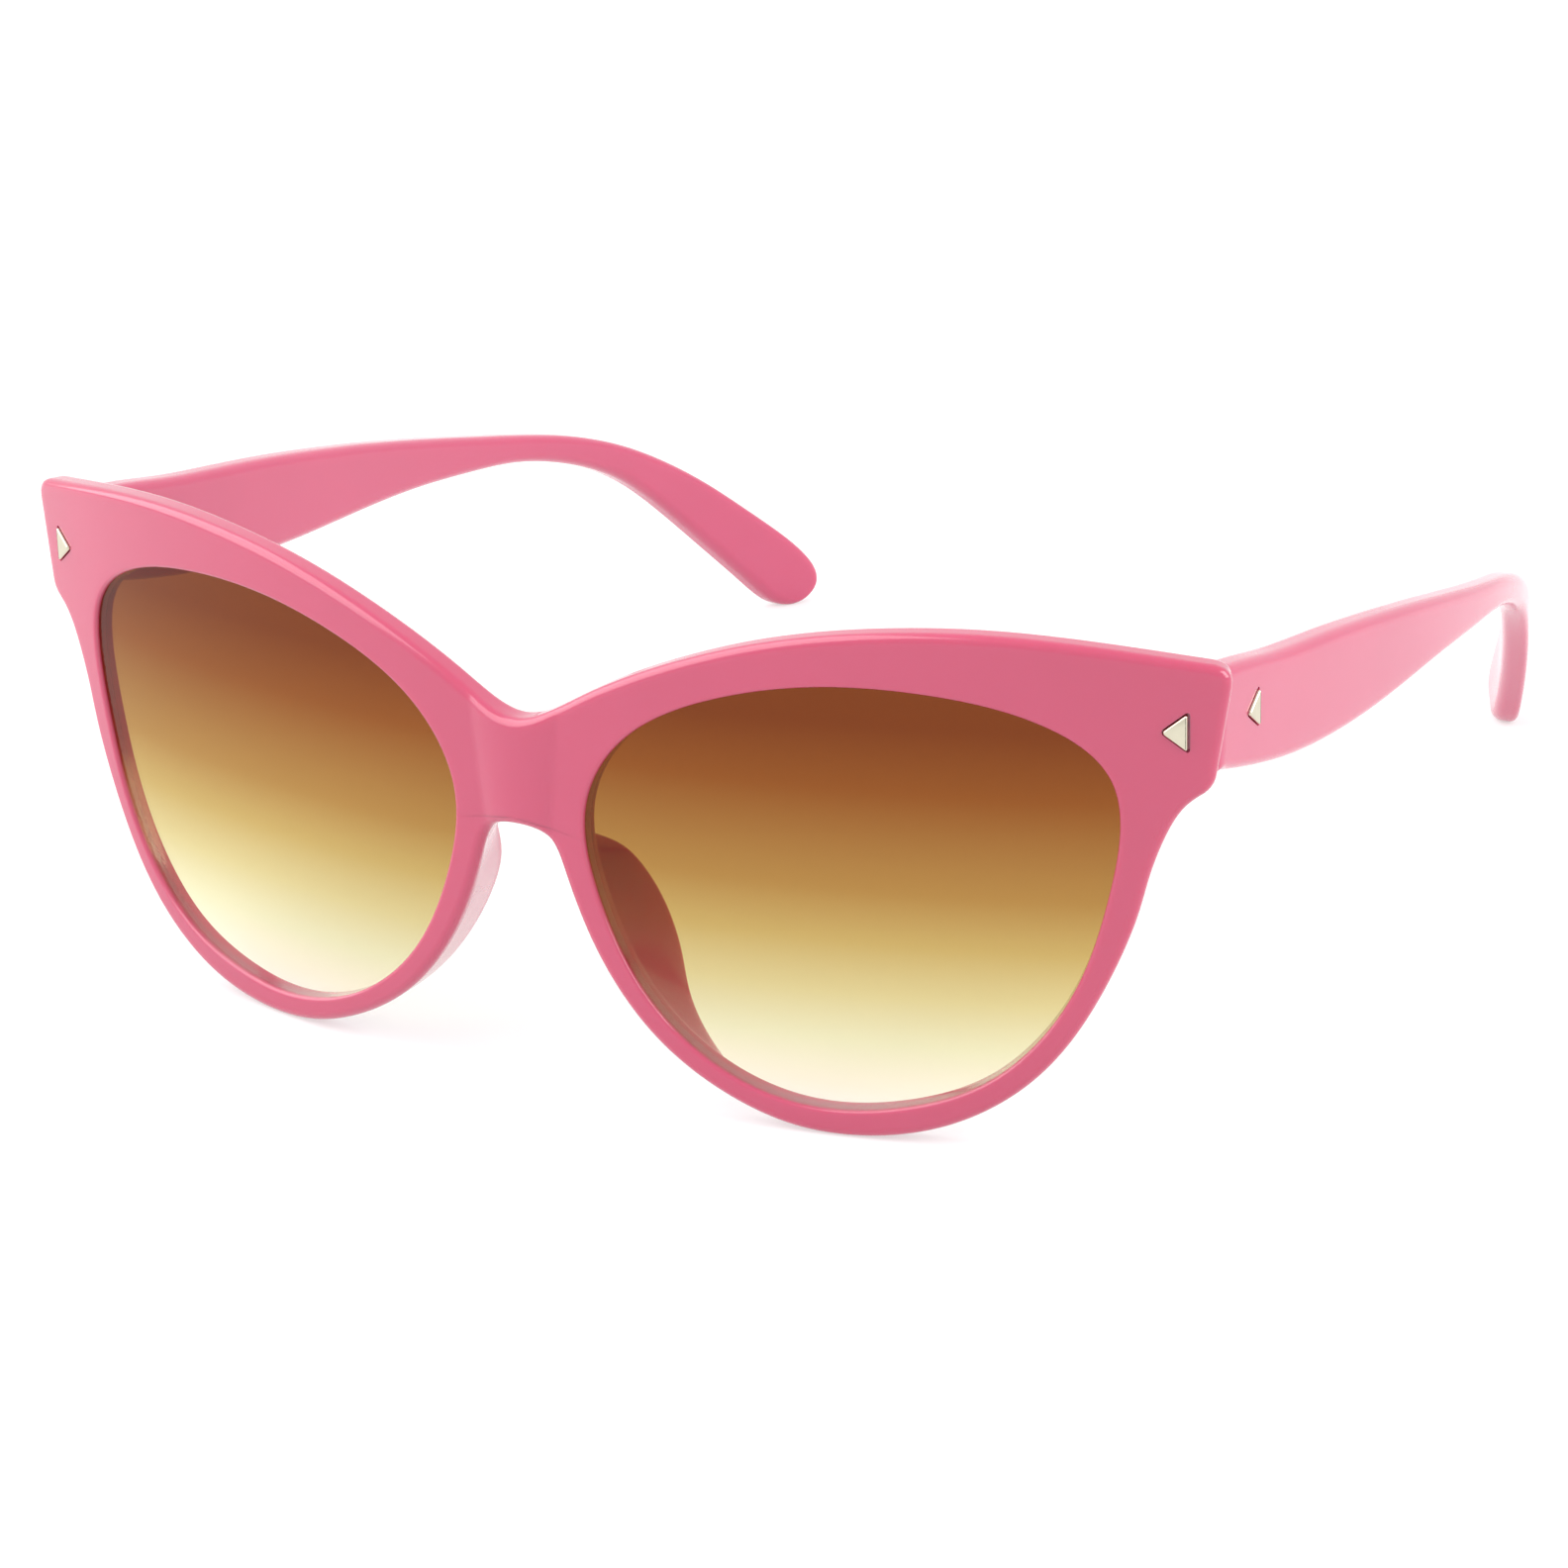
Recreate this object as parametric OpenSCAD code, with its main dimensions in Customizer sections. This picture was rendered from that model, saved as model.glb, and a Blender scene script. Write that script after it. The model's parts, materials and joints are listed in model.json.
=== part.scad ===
// Cat eye sunglasses: a one-piece moulded front with two tinted lenses, and two folding temples.
// Everything is drawn upright in the front's own frame: X to the wearer's left and right, the face of
// the bridge at y = 0, the temples towards +Y, and z = 0 at the underside of the bridge. standing()
// then leans the whole pair back until the rims and the temple tips rest on z = 0.

/* [Front] */
// Half of the width across the two upper tips
half_w = 73.6; // [73.6:0.1:73.8]
// Radius that the front is bowed to, seen from above
bow_r = 172; // [168:1:180]
// Thickness of the moulded front
front_t = 3; // [2.8:0.1:3.2]
// How far a nose pad stands back from the face of the front
pad_reach = 11; // [10:0.5:11.5]
// Outward flare of the nose pads, in degrees
pad_flare = 17; // [12:1:20]

/* [Lenses] */
// Thickness of a lens
lens_t = 1.6; // [1.4:0.1:1.6]
// How far the lens reaches into its groove
lens_seat = 0.8; // [0.5:0.1:1]
// How far the lens sits behind the face of the front
lens_inset = 0.7; // [0.6:0.1:0.7]

/* [Temples] */
// Thickness of a temple at the hinge
temple_t = 3.8; // [3.4:0.1:4]
// Thickness of a temple at its tip
tip_t = 3.4; // [3:0.1:3.8]
// Distance from the middle of the object to the middle of a temple at the hinge
temple_x = 68.9; // [68.8:0.1:69]
// How far the tip of a temple bends inwards
toe_in = 17; // [15:1:18]

/* [Hinges] */
// Height of the middle of the hinges above the underside of the bridge
hinge_z = 16.4; // [16:0.1:17]
// Outer radius of the hinge barrels
barrel_r = 1.6; // [1.4:0.1:1.7]
// Height of one barrel
barrel_h = 1.9; // [1.6:0.1:2]
// Radius of the hinge screw
screw_r = 0.6; // [0.5:0.05:0.65]

/* [Rivets] */
// Height of a triangular rivet head
rivet_h = 4; // [3.6:0.1:4.2]
// Length of a rivet head from its base to its point
rivet_l = 2.6; // [2.4:0.1:2.7]
// How far a rivet head stands proud
rivet_proud = 0.5; // [0.4:0.1:0.7]

/* [Hidden] */

right = 1;
left = -1;
back_r = bow_r - front_t;
clear = 0.05;          // play round a seated lens, a leaf and a rivet shank
part_gap = 0.35;       // gap between the front and a temple
barrel_gap = 0.15;     // gap between two barrels
lens_gap = 0.2;        // groove that is wider than the lens
step = 4;              // segments between two points of a curve
reach = 60;            // longer than anything that is cut out of it

// Upper edge of the front, from the middle of the bridge to the tip: x, z
brow = [[0, 11.6], [8, 15], [18.7, 20], [30.2, 23.5], [41.6, 25.2], [51.8, 25.5], [62.4, 24.6],
    [half_w, 22.9]];
// Lower edge, from the corner under the tip round the rim to the middle of the bridge
rim = [[71.8, 10.4], [69.4, 8.6], [67.6, 5.6], [66, 1], [64.6, -4.3], [59.6, -15.6], [53, -23.5],
    [44.2, -28.2], [33.8, -29.5], [25.5, -27.7], [16.8, -22.8], [10.7, -16.2], [7.2, -9.8],
    [5.2, -4.4], [3.4, -0.9], [0, 0]];
// Lens opening, round from its outer side
eye = [[62.1, -1.7], [58.3, -12.9], [51, -21.7], [41.9, -25.7], [32.2, -26.6], [22.4, -23.6],
    [14.2, -16.5], [9.3, -6.7], [8.1, 3], [13.2, 11.4], [23.2, 16.7], [34.4, 19.1], [45.9, 19],
    [56, 16.6], [62.6, 10.7]];
// Where the nose pad leaves the rim, from the bridge downwards
pad_root = [[4.4, -1], [5.2, -4.4], [7.2, -9.8], [10.7, -16.2], [16.8, -22.8], [21, -25.6], [24, -26.9]];
pad_wall = [2.4, 1];
pad_bite = 0.7;         // how deep its root sits in the front
pad_pivot = [8, front_t];
// How far back the pad reaches at each height: y, z
pad_side = [[1, 1], [0.4 * pad_reach, 0], [0.72 * pad_reach, -4], [0.94 * pad_reach, -8],
    [pad_reach, -12], [0.96 * pad_reach, -16], [0.8 * pad_reach, -20], [0.6 * pad_reach, -24],
    [0.4 * pad_reach, -27], [1, -28]];

// Side of a temple, along the top from the hinge, round the tip and back: y, z
temple_side = [[17, 21.8], [26, 20.5], [34.4, 18.9], [48, 16.9], [60, 14.9], [72, 12.6], [84, 10],
    [95, 7.5], [105.3, 5.1], [112.5, 2.9], [119.8, -0.3], [128.6, -5.9], [135.4, -11.6],
    [140.5, -16.4], [143.8, -20.3], [144.7, -23.3], [143.2, -26], [140.4, -26.1], [137.5, -23.8],
    [130, -15.7], [121.3, -7], [114.5, -2.2], [106.9, 1], [99, 3], [90.8, 3.9], [79.4, 4.7],
    [67, 4.9], [54, 5.1], [40.5, 6.2], [30.9, 7.9], [21.5, 10.3], [16, 12.1]];
temple_y0 = 20;
temple_run = 119;
toe_power = 4;          // a temple is straight at first and bends in towards its tip
plan_step = 5;

pivot = [64, 18.6];
leaf_t = 1;
leaf_h = 3 * barrel_h + 2 * barrel_gap;
front_leaf_x = 67.1;
front_leaf_l = 6.4;
temple_leaf_y = [19.6, 28.8];
web_w = 2;
head_r = 1.3;
head_h = 0.5;
slot_w = 0.4;
shank_r = 0.45;
shank_gap = 1.3;       // between the two shanks of a rivet
shank_back = 0.85;     // from the base of the rivet head to its shanks
shank_proud = 0.2;      // how far the shanks stand out behind the leaves
rivet_sunk = 0.3;
front_rivet_x = 68.2;
temple_rivet_y = 26.6;
temple_rivet_z = 15.1;   // the middle of a temple's depth there; its leaf is centred on it too

// Catmull-Rom curve through b and c, at t from 0 to 1
function between(a, b, c, d, t) =
    0.5 * (2 * b + (c - a) * t + (2 * a - 5 * b + 4 * c - d) * t * t + (3 * b - a - 3 * c + d) * t * t * t);
function open_curve(p) = [
    for (i = [0 : len(p) - 2], k = [0 : step - 1])
        between(i == 0 ? 2 * p[0] - p[1] : p[i - 1], p[i], p[i + 1],
            i + 2 < len(p) ? p[i + 2] : 2 * p[i + 1] - p[i], k / step),
    p[len(p) - 1]];
function closed_curve(p) = [
    for (i = [0 : len(p) - 1], k = [0 : step - 1])
        between(p[(i + len(p) - 1) % len(p)], p[i], p[(i + 1) % len(p)], p[(i + 2) % len(p)], k / step)];
function backwards(p) = [for (i = [len(p) - 1 : -1 : 0]) p[i]];
function other_side(p) = [for (q = p) [-q[0], q[1]]];
// A closed outline that runs clockwise, moved outwards by d
function grown(p, d) = [
    for (i = [0 : len(p) - 1])
        let (u = p[(i + 1) % len(p)] - p[(i + len(p) - 1) % len(p)]) p[i] + d * [-u[1], u[0]] / norm(u)];

brow_curve = open_curve([each backwards([for (i = [1 : len(brow) - 1]) [-brow[i][0], brow[i][1]]]),
    each brow]);
rim_curve = open_curve([each rim, each backwards([for (i = [0 : len(rim) - 2]) [-rim[i][0], rim[i][1]]])]);
front_outline = [each brow_curve, each rim_curve];
eye_outline = closed_curve(eye);
temple_outline = open_curve(temple_side);

// Depth of the bowed face at a distance x from the middle
function bow(x) = bow_r - sqrt(bow_r * bow_r - x * x);
function toe(y) = temple_x - toe_in * pow(max(y - temple_y0, 0) / temple_run, toe_power);
function thick(y) = temple_t + (tip_t - temple_t) * max(y - temple_y0, 0) / temple_run;

// Lean that brings the back of the rims and the temple tips to one level
rim_low = min([for (p = rim_curve) p[1]]);
rim_low_x = [for (p = rim_curve) if (p[1] == rim_low) abs(p[0])][0];
rim_foot = [bow_r - sqrt(back_r * back_r - rim_low_x * rim_low_x), rim_low];
lean = min([for (p = temple_outline) if (p[0] > 100) atan2(p[1] - rim_foot[1], p[0] - rim_foot[0])]);
stand_z = rim_foot[0] * sin(lean) - rim_foot[1] * cos(lean);
depth_min = min([for (p = front_outline) bow(p[0]) * cos(lean) + p[1] * sin(lean)]);
depth_max = max([for (p = temple_outline) p[0] * cos(lean) + p[1] * sin(lean)]);

module standing() {
    translate([0, -(depth_min + depth_max) / 2, stand_z]) rotate([-lean, 0, 0]) children();
}

// Mirrors a right-hand piece for the left
module on(side) {
    if (side == right) children();
    else mirror([1, 0, 0]) children();
}

// A plate of the given x, z outline between two depths
module plate(outline, y0, y1) {
    translate([0, y1, 0]) rotate([90, 0, 0]) linear_extrude(y1 - y0) polygon(outline);
}

// The space between two depths behind the bowed face
module bowed(depth_0, depth_1) {
    translate([0, bow_r, -reach]) difference() {
        cylinder(r = bow_r - depth_0, h = 2 * reach, $fn = 200);
        translate([0, 0, -1]) cylinder(r = bow_r - depth_1, h = 2 * reach + 2, $fn = 200);
    }
}

// Moves to the bowed face at a distance x from the middle, with +Y square into the plastic
module on_face(x) {
    angle = asin(x / bow_r);
    translate([x, bow(x), 0]) rotate([0, 0, angle]) children();
}

// The plate of each leaf; its pocket has some play and opens towards the hinge
module front_leaf_plate(play, open) {
    on_face(front_leaf_x)
        translate([-front_leaf_l / 2 - play, front_t - leaf_t - play, hinge_z - leaf_h / 2 - play])
        cube([front_leaf_l + 2 * play, leaf_t + play + open, leaf_h + 2 * play]);
}

module temple_leaf_plate(play, open) {
    translate([temple_x - temple_t / 2 - open, temple_leaf_y[0] - play, temple_rivet_z - leaf_h / 2 - play])
        cube([leaf_t + play + open, temple_leaf_y[1] - temple_leaf_y[0] + 2 * play, leaf_h + 2 * play]);
}

module shanks(r, length) {
    for (z = [-1, 1]) translate([0, 0, z * shank_gap / 2]) rotate([-90, 0, 0])
        cylinder(r = r, h = length, $fn = 24);
}

// The triangle of a rivet head, pointing to -X, its middle at the origin
module rivet_outline(less) {
    polygon([[-rivet_l / 2 + 1.5 * less, 0], [rivet_l / 2 - less, rivet_h / 2 - 1.6 * less],
        [rivet_l / 2 - less, 1.6 * less - rivet_h / 2]]);
}

module rivet_shape(play, shank_l) {
    translate([0, rivet_sunk + play, 0]) rotate([90, 0, 0])
        linear_extrude(rivet_sunk + play + rivet_proud / 2) rivet_outline(-play);
    rotate([90, 0, 0]) linear_extrude(rivet_proud) rivet_outline(0.25);
    translate([rivet_l / 2 - shank_back, 0, 0]) shanks(shank_r + play, shank_l);
}

module front_rivet_shape(play) {
    on_face(front_rivet_x) translate([0, 0, hinge_z]) rivet_shape(play, front_t + shank_proud);
}

module temple_rivet_shape(play) {
    translate([temple_x + temple_t / 2, temple_rivet_y, temple_rivet_z]) rotate([0, 0, 90])
        rivet_shape(play, temple_t + shank_proud);
}

module nose_pad() {
    intersection() {
        translate([pad_pivot[0], pad_pivot[1], 0]) rotate([0, 0, -pad_flare])
            translate([-pad_pivot[0], -pad_pivot[1], 0])
            plate([each pad_root, each backwards([for (p = pad_root) p + pad_wall])],
                front_t - pad_bite, 2 * pad_reach);
        rotate([90, 0, 90]) linear_extrude(reach) polygon(pad_side);
    }
}

module front_frame() {
    color([0.84, 0.42, 0.52]) standing() difference() {
        union() {
            intersection() {
                plate(front_outline, -1, reach);
                bowed(0, front_t);
            }
            for (side = [left, right]) on(side) nose_pad();
        }
        for (side = [left, right]) on(side) {
            plate(eye_outline, -2, front_t + bow(half_w));
            intersection() {
                plate(grown(eye_outline, lens_seat), -1, reach);
                bowed(lens_inset, lens_inset + lens_t + lens_gap);
            }
            front_leaf_plate(clear, 1);
            front_rivet_shape(clear);
        }
    }
}

module lens(side) {
    color([0.62, 0.38, 0.16, 0.6]) standing() on(side) intersection() {
        plate(grown(eye_outline, lens_seat - clear), -1, reach);
        bowed(lens_inset + lens_gap / 2, lens_inset + lens_gap / 2 + lens_t);
    }
}

module front_rivet(side) {
    color([0.78, 0.77, 0.72]) standing() on(side) front_rivet_shape(0);
}

module temple_rivet(side) {
    color([0.78, 0.77, 0.72]) standing() on(side) temple_rivet_shape(0);
}

module front_hinge_leaf(side) {
    stand_off = back_r - norm(pivot - [0, bow_r]);
    turn = asin(front_leaf_x / bow_r);
    color([0.72, 0.71, 0.68]) standing() on(side) difference() {
        union() {
            front_leaf_plate(0, 0);
            for (z = [hinge_z - leaf_h / 2, hinge_z + leaf_h / 2 - barrel_h]) translate([pivot[0], pivot[1], z]) {
                cylinder(r = barrel_r, h = barrel_h, $fn = 48);
                rotate([0, 0, turn]) translate([-web_w / 2, -stand_off - leaf_t / 2, 0])
                    cube([web_w, stand_off + leaf_t / 2, barrel_h]);
            }
        }
        translate([pivot[0], pivot[1], hinge_z - leaf_h]) cylinder(r = screw_r + 0.01, h = 2 * leaf_h, $fn = 48);
        front_rivet_shape(clear);
    }
}

module temple_hinge_leaf(side) {
    target = [temple_x - temple_t / 2, temple_leaf_y[0] + 0.75 * web_w];
    way = target - pivot;
    color([0.72, 0.71, 0.68]) standing() on(side) difference() {
        union() {
            temple_leaf_plate(0, 0);
            translate([pivot[0], pivot[1], hinge_z - barrel_h / 2]) {
                cylinder(r = barrel_r, h = barrel_h, $fn = 48);
                rotate([0, 0, atan2(way[1], way[0])]) translate([0, -web_w / 2, 0])
                    cube([norm(way), web_w, barrel_h]);
            }
        }
        translate([pivot[0], pivot[1], hinge_z - leaf_h]) cylinder(r = screw_r + clear, h = 2 * leaf_h, $fn = 48);
        temple_rivet_shape(clear);
    }
}

module hinge_screw(side) {
    top = hinge_z + leaf_h / 2;
    color([0.66, 0.65, 0.62]) standing() on(side) translate([pivot[0], pivot[1], 0]) difference() {
        union() {
            translate([0, 0, top - leaf_h]) cylinder(r = screw_r, h = leaf_h, $fn = 48);
            translate([0, 0, top]) cylinder(r = head_r, h = head_h, $fn = 48);
        }
        translate([-head_r - 1, -slot_w / 2, top + head_h / 2]) cube([2 * head_r + 2, slot_w, head_h]);
    }
}

module temple(side) {
    ys = [temple_y0 - plan_step : plan_step : temple_y0 + temple_run + 2 * plan_step];
    outer = [for (y = ys) [toe(y) + thick(y) / 2, y]];
    inner = [for (y = ys) [toe(y) - thick(y) / 2, y]];
    color([0.88, 0.48, 0.58]) standing() on(side) difference() {
        intersection() {
            rotate([90, 0, 90]) linear_extrude(2 * reach) polygon(temple_outline);
            translate([0, 0, -reach]) linear_extrude(2 * reach) polygon([each outer, each backwards(inner)]);
        }
        bowed(-front_t, front_t + part_gap);
        temple_leaf_plate(clear, 1);
        temple_rivet_shape(clear);
    }
}

front_frame();
lens(left);  // lens_left
lens(right);  // lens_right
front_rivet(left);  // front_rivet_left
front_rivet(right);  // front_rivet_right
temple_rivet(left);  // temple_rivet_left
temple_rivet(right);  // temple_rivet_right
front_hinge_leaf(left);  // front_hinge_leaf_left
front_hinge_leaf(right);  // front_hinge_leaf_right
temple_hinge_leaf(left);  // temple_hinge_leaf_left
temple_hinge_leaf(right);  // temple_hinge_leaf_right
hinge_screw(left);  // hinge_screw_left
hinge_screw(right);  // hinge_screw_right
temple(left);  // temple_left
temple(right);  // temple_right
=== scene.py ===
"""Cat eye sunglasses: the looks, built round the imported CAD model.

Outlines are kept in millimetres in the front's own frame, as in the CAD model: X across, the face of the
bridge at y = 0, the temples towards +Y and z = 0 at the underside of the bridge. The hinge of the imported
model says how that frame leans and where it stands.
"""
import json
import math

import bmesh
import bpy
import numpy as np
from bpy.props import FloatProperty, FloatVectorProperty, IntProperty, PointerProperty
from bpy.types import Operator, Panel, PropertyGroup
from mathutils import Matrix, Vector


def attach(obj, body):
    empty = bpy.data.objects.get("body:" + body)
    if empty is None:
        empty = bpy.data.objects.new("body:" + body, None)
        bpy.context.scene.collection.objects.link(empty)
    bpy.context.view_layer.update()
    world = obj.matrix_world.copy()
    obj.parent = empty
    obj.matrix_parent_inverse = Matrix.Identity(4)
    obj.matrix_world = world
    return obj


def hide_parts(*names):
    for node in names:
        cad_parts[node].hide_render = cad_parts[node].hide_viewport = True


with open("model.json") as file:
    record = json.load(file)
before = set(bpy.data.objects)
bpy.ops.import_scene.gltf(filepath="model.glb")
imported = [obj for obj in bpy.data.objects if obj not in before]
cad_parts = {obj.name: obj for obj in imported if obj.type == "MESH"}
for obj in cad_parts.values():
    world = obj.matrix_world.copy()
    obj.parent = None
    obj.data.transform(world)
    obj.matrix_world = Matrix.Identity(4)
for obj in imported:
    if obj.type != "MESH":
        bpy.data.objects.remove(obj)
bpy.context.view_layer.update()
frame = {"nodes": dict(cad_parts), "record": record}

bl_info = {
    "name": "Cat Eye Sunglasses",
    "version": (1, 0, 0),
    "blender": (4, 5, 0),
    "location": "View3D > Sidebar > Sunglasses",
    "description": "Builds a pair of cat eye sunglasses with folding temples",
    "category": "Add Mesh",
}

MM = 0.001
SIDES = {"right": 1, "left": -1}
PIVOT = (64, 18.6, 16.4)  # the right hinge in the front's own frame

# Upper edge of the front, from the middle of the bridge to the tip: x, z
BROW = [(0, 11.6), (8, 15), (18.7, 20), (30.2, 23.5), (41.6, 25.2), (51.8, 25.5), (62.4, 24.6), (73.6, 22.9)]
# Lower edge, from the corner under the tip round the rim to the middle of the bridge
RIM = [(71.8, 10.4), (69.4, 8.6), (67.6, 5.6), (66, 1), (64.6, -4.3), (59.6, -15.6), (53, -23.5),
       (44.2, -28.2), (33.8, -29.5), (25.5, -27.7), (16.8, -22.8), (10.7, -16.2), (7.2, -9.8), (5.2, -4.4),
       (3.4, -0.9), (0, 0)]
# Lens opening, round from its outer side
EYE = [(62.1, -1.7), (58.3, -12.9), (51, -21.7), (41.9, -25.7), (32.2, -26.6), (22.4, -23.6), (14.2, -16.5),
       (9.3, -6.7), (8.1, 3), (13.2, 11.4), (23.2, 16.7), (34.4, 19.1), (45.9, 19), (56, 16.6), (62.6, 10.7)]
EYE_MIDDLE = (35.0, -2.0)
# Nose pad at each height: z, how far it stands back from the rim, how far it leans away from the nose
NOSE_PAD = [(1, 0, 0), (-0.4, 0, 0), (-1.2, 1.0, 0.5), (-2.4, 3.0, 1.6), (-4, 4.7, 2.4), (-8, 7.1, 2.4),
            (-12, 7.9, 2.2), (-16, 7.2, 1.7), (-20, 5.1, 0.8), (-24, 2.6, 0.2), (-27, 0, 0)]
# Top and underside of a temple, from the hinge to the tip: y, z
TEMPLE_TOP = [(17, 21.8), (26, 20.5), (34.4, 18.9), (48, 16.9), (60, 14.9), (72, 12.6), (84, 10), (95, 7.5),
              (105.3, 5.1), (112.5, 2.9), (119.8, -0.3), (128.6, -5.9), (135.4, -11.6), (140.5, -16.4),
              (143.1, -19.4), (144.5, -21.9), (144.6, -23.9), (143.6, -25.5)]
TEMPLE_UNDER = [(16, 12.1), (21.5, 10.3), (30.9, 7.9), (40.5, 6.2), (54, 5.1), (67, 4.9), (79.4, 4.7),
                (90.8, 3.9), (99, 3), (106.9, 1), (114.5, -2.2), (121.3, -7), (130, -15.7), (135.4, -21.6),
                (137.7, -24.2), (139.7, -25.9), (141.8, -26.4), (143.6, -25.5)]


def joint(name):
    return next(j for j in frame["record"]["behaviour"]["joints"] if j["name"] == name)


def standing():
    """The matrix that leans the front's own frame back and stands it up, and turns millimetres to metres."""
    hinge = joint("right_temple_hinge")
    axis = Vector(hinge["axis"])
    turn = Matrix.Rotation(-math.atan2(axis.y, axis.z), 4, "X")
    pivot = Vector(PIVOT) * MM
    return Matrix.Translation(Vector(hinge["pos_m"]) - turn @ pivot) @ turn @ Matrix.Scale(MM, 4)


STAND = standing()


# ------------------------------------------------------------------ settings


def length(name, description, default):
    """A length in millimetres."""
    return FloatProperty(name=name, description=description, default=default, min=0, precision=2)


def angle(name, description, default):
    return FloatProperty(name=name, description=description, default=math.radians(default), subtype="ANGLE")


def colour(name, description, default):
    return FloatVectorProperty(name=name, description=description, default=default, subtype="COLOR", size=3,
                               min=0, max=1)


class FrontSettings(PropertyGroup):
    bow: length("Bow", "Radius the front is bowed to, in mm", 172)
    thick: length("Thickness", "Thickness of the moulded front, in mm", 3.0)
    edge: length("Edge", "Rounding of the outer edges, in mm", 0.9)
    back_edge: length("Back edge", "Rounding of the edges at the back, in mm", 0.7)
    lip: length("Lip", "Rounding of the edge round each lens, in mm", 0.4)
    bulge: length("Bridge", "How far the middle of the bridge stands out, in mm", 0.7)
    bulge_top: length("Bridge width", "Distance between the creases at the top of the bridge, in mm", 10.4)
    bulge_foot: length("Bridge foot", "Distance between the creases at its underside, in mm", 8)
    around: IntProperty(name="Around", description="Points round one rim", default=420, min=100)
    colour: colour("Colour", "Colour of the plastic", (0.465, 0.046, 0.115))


class LensSettings(PropertyGroup):
    thick: length("Thickness", "Thickness of a lens, in mm", 1.6)
    inset: length("Inset", "How far a lens sits behind the face, in mm", 0.5)
    seat: length("Seat", "How far the edge of a lens is moulded into the plastic, in mm", 0.3)
    upper: colour("Top", "Tint at the top of a lens", (0.175, 0.037, 0.004))
    lower: colour("Bottom", "Tint at the bottom of a lens", (1.0, 0.98, 0.9))


class TempleSettings(PropertyGroup):
    x: length("Place", "Distance from the middle to a temple at its hinge, in mm", 68.9)
    start: length("Start", "Where a temple begins to bend inwards, in mm", 20)
    run: length("Run", "Length over which a temple bends inwards, in mm", 119)
    toe: length("Bend", "How far the tip bends inwards, in mm", 16.4)
    thick: length("Thickness", "Thickness at the hinge, in mm", 3.8)
    tip: length("Tip thickness", "Thickness at the tip, in mm", 3.4)
    edge: length("Edge", "Rounding of the edges, in mm", 1.2)
    gap: length("Gap", "Gap between the front and a temple, in mm", 0.35)
    colour: colour("Colour", "Colour of the plastic", (0.5, 0.052, 0.132))


class RivetSettings(PropertyGroup):
    height: length("Height", "Height of a rivet head, in mm", 4.0)
    length: length("Length", "Length of a rivet head, in mm", 2.6)
    proud: length("Proud", "How far a head stands proud, in mm", 0.32)
    corner: length("Corner", "Rounding of the corners, in mm", 0.42)
    bevel: length("Bevel", "Bevel round the head, in mm", 0.22)
    shank: length("Shank", "Radius of the two shanks behind a head, in mm", 0.45)
    shank_gap: length("Shank gap", "Distance between the middles of the two shanks, in mm", 1.3)
    shank_back: length("Shank place", "Distance from the base of a head to its shanks, in mm", 0.85)
    shank_proud: length("Shank end", "How far the shanks stand out behind the plastic, in mm", 0.2)
    front_x: length("Front place", "Distance from the middle to a front rivet, in mm", 68.2)
    front_z: length("Front height", "Height of a front rivet above the underside of the bridge, in mm", 16.4)
    temple_y: length("Temple place", "Distance back to a temple rivet, in mm", 26.6)
    temple_z: length("Temple height", "Height of a temple rivet in the same way, in mm", 15.1)
    colour: colour("Colour", "Colour of the metal", (0.64, 0.6, 0.47))


class StageSettings(PropertyGroup):
    azimuth: angle("Azimuth", "Direction the camera looks from", 30.8)
    elevation: angle("Elevation", "Height the camera looks from", 20.65)
    roll: angle("Roll", "Roll of the camera", -1.58)
    distance: length("Distance", "Distance to the camera, in mm", 501)
    lens: length("Lens", "Focal length, in mm", 113)
    floor: colour("Floor", "Colour of the floor", (0.4, 0.4, 0.4))
    glow: colour("Glow", "Light that comes up through the floor", (0.55, 0.55, 0.55))


GROUPS = {"front": FrontSettings, "lens": LensSettings, "temple": TempleSettings, "rivet": RivetSettings,
          "stage": StageSettings}


def settings(name):
    return getattr(bpy.context.scene, "sunglasses_" + name)


# ------------------------------------------------------------------ curves


SPLINE_STEPS = 24  # points from each given point to the next


def spline(points, closed=False, steps=SPLINE_STEPS):
    """A smooth curve with steady curvature through the given points."""
    p = np.array(points, float)
    if closed:
        p = np.vstack([p, p[:1]])
    h = np.sqrt(np.linalg.norm(np.diff(p, axis=0), axis=1))
    n = len(p)
    a, b = np.zeros((n, n)), np.zeros(p.shape)
    slope = np.diff(p, axis=0) / h[:, None]
    for i in range(1, n - 1):
        a[i, i - 1 : i + 2] = h[i - 1], 2 * (h[i - 1] + h[i]), h[i]
        b[i] = 6 * (slope[i] - slope[i - 1])
    a[0, 0] = a[-1, -1] = 1
    if closed:
        a[0, -1] = -1
        a[-1, 0], a[-1, 1], a[-1, -2], a[-1, -1] = 2 * (h[-1] + h[0]), h[0], h[-1], 0
        b[-1] = 6 * (slope[0] - slope[-1])
    m = np.linalg.solve(a, b)
    u = np.linspace(0, 1, steps, endpoint=False)[:, None]
    out = []
    for i in range(n - 1):
        v, hh = 1 - u, h[i] ** 2 / 6
        out.append(v * p[i] + u * p[i + 1] + hh * ((v**3 - v) * m[i] + (u**3 - u) * m[i + 1]))
    return np.vstack(out + ([] if closed else [p[-1:]]))


def evenly(line, count, closed=False):
    """The same line with evenly spaced points."""
    if closed:
        line = np.vstack([line, line[:1]])
    along = np.concatenate([[0], np.cumsum(np.linalg.norm(np.diff(line, axis=0), axis=1))])
    at = np.linspace(0, along[-1], count, endpoint=not closed)
    return np.column_stack([np.interp(at, along, line[:, k]) for k in range(line.shape[1])])


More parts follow.
